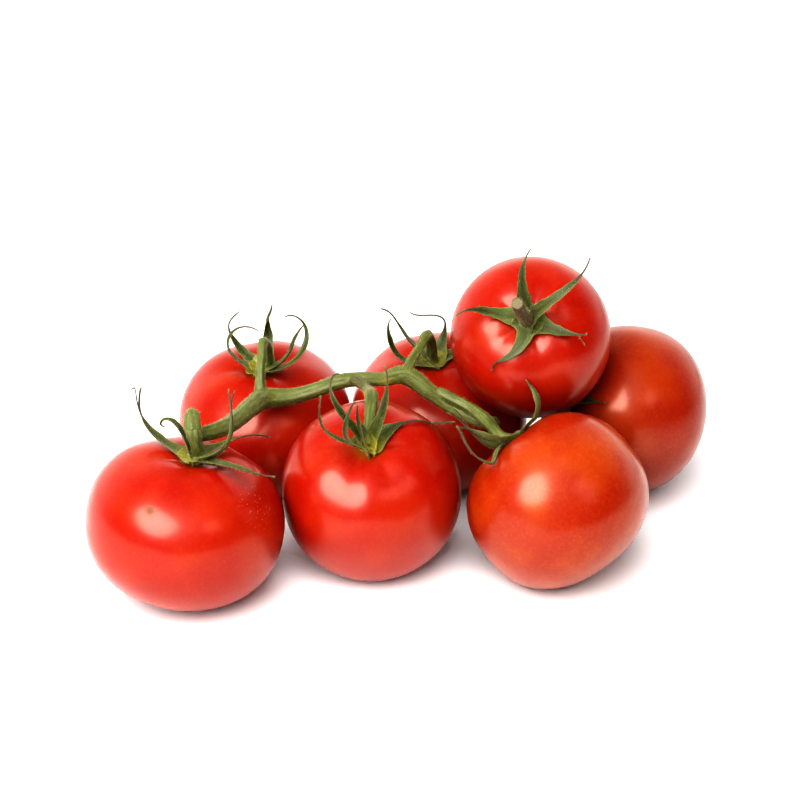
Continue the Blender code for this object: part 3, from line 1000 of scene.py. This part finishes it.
def sepal_line(fruit, sepal, index):
    """Midline of a sepal with its width, side, face and roll at each point, in world space."""
    pole = skin_radius(fruit, Vector((0.0, 0.0, 1.0)))
    point = Vector((0.0, 0.0, pole + SEAT + CROWN_HEIGHT / 2))
    path = [(point.copy(), math.radians(sepal.turn))]
    step = sepal.length / SEPAL_STEPS
    for count in range(SEPAL_STEPS):
        share = (count + 0.5) / SEPAL_STEPS
        rise = math.radians(sepal.lift + sepal.curl * share**2 + sepal.hook * share**6)
        turn = math.radians(sepal.turn + sepal.swing * share**2)
        point += step * Vector((
            math.cos(rise) * math.cos(turn),
            math.cos(rise) * math.sin(turn),
            math.sin(rise),
        ))
        floor = skin_radius(fruit, point.normalized()) + SEPAL_CLEARANCE
        path.append((point * max(1.0, floor / point.length), turn))
    place = fruit_frame(fruit)
    line = {key: [] for key in ("middle", "side", "face", "half", "roll", "thin", "share", "slim")}
    for count, (point, turn) in enumerate(path):
        before = path[max(count - 1, 0)][0]
        after = path[min(count + 1, len(path) - 1)][0]
        along = (after - before).normalized()
        side = Vector((-math.sin(turn), math.cos(turn), 0.0))
        side = (side - along * side.dot(along)).normalized()
        share = count / SEPAL_STEPS
        wave = 1 + 0.07 * math.sin(share * 19 + index * 2.1) + 0.05 * math.sin(share * 37 + index)
        line["middle"].append(place @ (point * MM))
        line["side"].append(place.to_3x3() @ side)
        line["face"].append(place.to_3x3() @ along.cross(side))
        line["half"].append(sepal_width(sepal, share) * wave)
        line["roll"].append(0.35 + 0.9 * share**1.5)
        line["thin"].append(1 - 0.25 * share)
        line["share"].append(share)
        line["slim"].append(sepal.slim)
    return line


def forked_thread(line, sepal):
    """A second withered thread that leaves a sepal where its blade ends."""
    first = max(int(sepal.slim * SEPAL_STEPS) - 2, 0)
    thread = {key: list(values[first:]) for key, values in line.items()}
    count = len(thread["middle"])
    for step in range(count):
        part = step / (count - 1)
        away = thread["side"][step] * (sepal.fork * part**1.5) + thread["face"][step] * (0.6 * part)
        thread["middle"][step] = thread["middle"][step] + away * MM
        thread["half"][step] = 0.3 - 0.14 * part
    return thread


def axis_point(fruit, height, radius):
    """A route point in millimetres on the fruit's axis, at a height over its skin."""
    pole = skin_radius(fruit, Vector((0.0, 0.0, 1.0)))
    middle = fruit_frame(fruit) @ Vector((0.0, 0.0, (pole + height) * MM)) / MM + BUNCH_MIDDLE
    return Vector((*middle, radius))


def calyx_routes(place, fruit):
    """Routes of the stalk from its knuckle down to the fruit, and of the calyx's crown."""
    stalk = smooth_route(SNAPPED_STALK) if place == "top" else split_stalk(place)[1]
    foot = axis_point(fruit, SEAT + PEDICEL_SINK, stalk[-1][3] * 1.25)
    stalk += [stalk[-1].lerp(foot, step / 4) for step in range(1, 5)]
    crown = [
        axis_point(fruit, 0.2, 1.8),
        axis_point(fruit, SEAT, 2.6),
        axis_point(fruit, SEAT + CROWN_HEIGHT * 0.6, CROWN_RADIUS),
        axis_point(fruit, SEAT + CROWN_HEIGHT, CROWN_RADIUS * 0.85),
    ]
    return stalk, crown


def calyx_piece(place, fruit, recipes, materials):
    """Makes a calyx: its sepals on a star of melted crown, roots and stalk up to the knuckle."""
    green = materials["calyx"]
    sepals = SEPALS[place]
    lines = [sepal_line(fruit, sepal, index) for index, sepal in enumerate(sepals)]
    threads = [forked_thread(line, sepal) for line, sepal in zip(lines, sepals) if sepal.fork]
    guides = line_mesh("Blades", lines + threads)
    blades = recipes["blades"].run("Blades", guides, thickness=0.5, midrib=0.22, material=green)
    yellow = YELLOWING.get(place, 0.1)
    paint_blades(blades, yellow, PALENESS.get(place, 0.0))
    roots = [{key: values[:ROOT_STEPS] for key, values in line.items()} for line in lines]
    guides = line_mesh("Stubs", roots)
    stubs = recipes["blades"].run("Stubs", guides, thickness=1.1, midrib=0.3, material=green)
    routes = calyx_routes(place, fruit)
    core = recipes["tubes"].run("Core", tube_lines(routes), material=green)
    core = blended_mesh("Core", [core, stubs], green, 6)
    paint_crown(core, Track(routes[0]), yellow, snapped=place == "top")
    mesh = joined_mesh(f"calyx_{place}", [core, blades])
    mesh.shade_smooth()
    add_piece(f"sepals_{place}", mesh, "calyx_green", f"calyx_{place}")
    return mesh


def tube_lines(routes):
    """Makes the guide lines of round tubes from routes in millimetres."""
    lines = [
        {"middle": [placed(point) for point in route], "thickness": [point[3] for point in route]}
        for route in routes
    ]
    return line_mesh("Guides", lines)


def crease_surface(mesh, trace):
    """Raises fine ridges along a stem and makes its skin a little uneven."""
    points = mesh_points(mesh)
    normals = np.empty(points.size, np.float32)
    mesh.vertex_normals.foreach_get("vector", normals)
    ridges = 0.10 * np.cos(5 * trace.angle + 0.03 * trace.along) + 0.05 * np.cos(9 * trace.angle + 1.0)
    lumps = np.array([noise.noise(Vector(point) * 260) for point in points])
    height = ridges * trace.apart + 0.12 * lumps
    move_points(mesh, points + normals.reshape(-1, 3) * height[:, None] * MM)


def grain_of(trace):
    """A pattern place in millimetres, drawn out along the stem."""
    around = trace.radius
    return np.stack([np.cos(trace.angle) * around, np.sin(trace.angle) * around, trace.along * 0.22], 1)


def paint_core(mesh, trace, dry, fresh, cut_start=False, cut_end=False):
    """Keeps what the green's colour depends on for a stem's points."""
    cut = np.zeros(len(mesh.vertices))
    if cut_start:
        cut = np.maximum(cut, np.clip(-trace.along / 0.2 + 0.2, 0.0, 1.0))
    if cut_end:
        end = np.clip((trace.along - trace.lengths) / 0.2 + 0.2, 0.0, 1.0)
        cut = np.maximum(cut, end * (trace.owner == 0))
    zero = np.zeros(len(mesh.vertices))
    keep_values(mesh, grain=grain_of(trace), dry=zero + dry, fresh=zero + fresh, shade=zero, cut=cut)


def paint_crown(mesh, track, yellow, snapped):
    """Creases a calyx's crown and stalk, and yellows the crown. A snapped stalk is dry and cut."""
    trace = Trace(mesh_points(mesh) / MM, [track])
    crease_surface(mesh, trace)
    near_foot = np.clip((trace.along - trace.lengths + 3.5) / 3.5, 0.0, 1.0)
    spread = np.linalg.norm(mesh_points(mesh) / MM - track.points[-1], axis=1)
    flat_part = np.clip((spread - 1.6) / 1.2, 0.0, 1.0) * near_foot
    dry = 0.75 * snapped * (1 - flat_part)
    paint_core(mesh, trace, dry=dry, fresh=yellow * 0.7 * flat_part, cut_start=snapped)


def paint_blades(mesh, yellow, pale):
    """Keeps what the green's colour depends on for the sepals' points."""
    count = len(mesh.vertices)
    share, across, half, slim = np.empty((4, count), np.float32)
    for name, values in (("share", share), ("across", across), ("half", half), ("slim", slim)):
        mesh.attributes[name].data.foreach_get("value", values)
    grain = np.stack([across * half * 1.5, share * 6.0, share * 0.0], 1) + mesh_points(mesh) / MM * 0.12
    dry = np.clip((share - slim + 0.22) / 0.3, 0.0, 1.0)
    fresh = np.clip(1 - share / 0.2, 0.0, 1.0) * yellow
    middle = np.exp(-((across / 0.45) ** 2)) * 0.6
    outer = np.clip(share / slim - 0.3, 0.0, 0.4)
    shade = np.clip(middle + outer, 0.0, 1.0) * np.clip(share / 0.2, 0.0, 1.0)
    cut = np.clip((share - 0.955) / 0.04, 0.0, 1.0) * 0.3
    edge = np.maximum(np.clip((np.abs(across) - 0.82) / 0.12, 0.0, 1.0), pale) * (1 - dry)
    keep_values(mesh, grain=grain, dry=dry, fresh=fresh, shade=shade, cut=cut, edge=edge)


def stem_piece(recipes, materials):
    """Makes the rachis with the lower half of every stalk, melted together at the forks."""
    green = materials["stem"]
    routes = [smooth_route(RACHIS), *(split_stalk(place)[0] for place in STALKS)]
    tubes = recipes["tubes"].run("Tubes", tube_lines(routes), material=green)
    mesh = blended_mesh("stem", [tubes], green, 8)
    trace = Trace(mesh_points(mesh) / MM, [Track(route) for route in routes])
    crease_surface(mesh, trace)
    owner = 1 + list(STALKS).index("front_middle")
    brown = (trace.owner == owner) * np.clip((17.0 - trace.along) / 4.0, 0.0, 1.0)
    away = np.linalg.norm(mesh_points(mesh) - placed(YELLOW_SPOT), axis=1) / MM
    fresh = np.exp(-((away / 2.2) ** 2)) * 0.6
    paint_core(mesh, trace, dry=brown * 0.5, fresh=fresh, cut_end=True)
    add_piece("vine", mesh, "stem_green", "stem")
    return mesh


def add_hairs(name, mesh, recipe, material, density, seed):
    """Grows fine hairs on a finished mesh, as a piece of their own."""
    hairs = recipe.run(
        name,
        mesh.copy(),
        density=density / MM**2,
        hair_length=HAIR_LENGTH,
        hair_radius=HAIR_RADIUS,
        lean=HAIR_LEAN,
        seed=seed,
        material=material,
    )
    add_piece(name, hairs, "stem_green")


def add_floor():
    """Lays the pale table, which reaches forward under the camera."""
    bpy.ops.mesh.primitive_plane_add(size=1.0)
    floor = bpy.context.object
    floor.name = "table"
    floor.scale = (TABLE_WIDTH, TABLE_DEPTH, 1.0)
    floor.location = (0.0, TABLE_DEPTH / 2 - TABLE_IN_FRONT, -TABLE_DROP)
    material, tree, shader = new_material("table")
    place = add_node(tree, "ShaderNodeTexCoord")
    faint = noise_of(tree, place.outputs["Object"], 40.0, 2.0)
    connect(tree, mixed(tree, faint, *TABLE_COLOURS), shader.inputs["Base Color"])
    shader.inputs["Roughness"].default_value = 0.6
    floor.data.materials.append(material)


def add_softbox(name, direction, distance, size, power):
    """Hangs a round soft light at a direction and distance in metres from the bunch."""
    light = bpy.data.lights.new(name, "AREA")
    light.shape = "DISK"
    light.size = size
    light.energy = power
    obj = bpy.data.objects.new(name, light)
    bpy.context.scene.collection.objects.link(obj)
    aim = Vector(direction).normalized()
    obj.location = Vector((0.0, 0.0, 0.04)) + aim * distance
    obj.rotation_euler = aim.to_track_quat("Z", "Y").to_euler()
    return obj


def add_surroundings():
    """Lights the bunch from a bright room with a darker side behind the camera."""
    world = bpy.data.worlds.new("studio")
    bpy.context.scene.world = world
    world.use_nodes = True
    tree = world.node_tree
    background = tree.nodes["Background"]
    place = add_node(tree, "ShaderNodeTexCoord")
    _, y, z = split(tree, place.outputs["Generated"])
    behind = fade(y, -0.15, 0.55)
    low = 1.0 - fade(z, 0.1, 0.9) * 0.75
    strength = behind * low * 1.15 + 0.05
    seen = Field(tree, add_node(tree, "ShaderNodeLightPath").outputs["Is Camera Ray"])
    connect(tree, strength * (1.0 - seen) + seen * 1.0, background.inputs["Strength"])
    background.inputs["Color"].default_value = (1.0, 1.0, 1.0, 1.0)
    key = add_softbox("key", (-0.290, -0.405, 0.37), 0.6, 0.47, 4.2)
    key.visible_diffuse = False
    add_softbox("fill", (0.50, -0.62, 0.60), 1.3, 0.5, 1.0)
    overhead = add_softbox("overhead", (-0.35, -0.66, 1.0), 1.3, 1.8, 42.0)
    overhead.visible_glossy = False


def add_camera():
    """Sets the camera at the photograph's angle, distance and scale."""
    camera = bpy.data.cameras.new("camera")
    camera.sensor_width = SENSOR
    camera.lens = CAMERA_DISTANCE / PIXEL * SENSOR / IMAGE_PIXELS
    camera.clip_start = 0.05
    obj = bpy.data.objects.new("camera", camera)
    bpy.context.scene.collection.objects.link(obj)
    back = Vector((0.0, -math.cos(CAMERA_HEIGHT), math.sin(CAMERA_HEIGHT)))
    obj.location = placed(CAMERA_TARGET + back * CAMERA_DISTANCE)
    obj.rotation_euler = back.to_track_quat("Z", "Y").to_euler()
    bpy.context.scene.camera = obj
    bpy.context.scene.view_settings.view_transform = "Standard"
    bpy.context.scene.view_settings.look = "Very High Contrast"


def dress_truss():
    """Dresses every fruit, every calyx and the stem."""
    recipes = {
        "fruit": fruit_recipe(),
        "tubes": tube_recipe(),
        "blades": blade_recipe(),
        "hairs": hair_recipe(),
    }
    materials = {
        "stem": green_material("stem_green", *STEM_GREENS),
        "calyx": green_material("calyx_green", *CALYX_GREENS),
        "hair": hair_material(),
    }
    for place in FRUITS:
        fruit_piece(place, recipes["fruit"])
    for count, (place, fruit) in enumerate(FRUITS.items()):
        mesh = calyx_piece(place, fruit, recipes, materials)
        add_hairs(f"hairs_{place}", mesh, recipes["hairs"], materials["hair"], CALYX_HAIRS, count)
    mesh = stem_piece(recipes, materials)
    add_hairs("hairs_stem", mesh, recipes["hairs"], materials["hair"], STEM_HAIRS, len(FRUITS))


add_camera()
add_surroundings()
add_floor()
dress_truss()
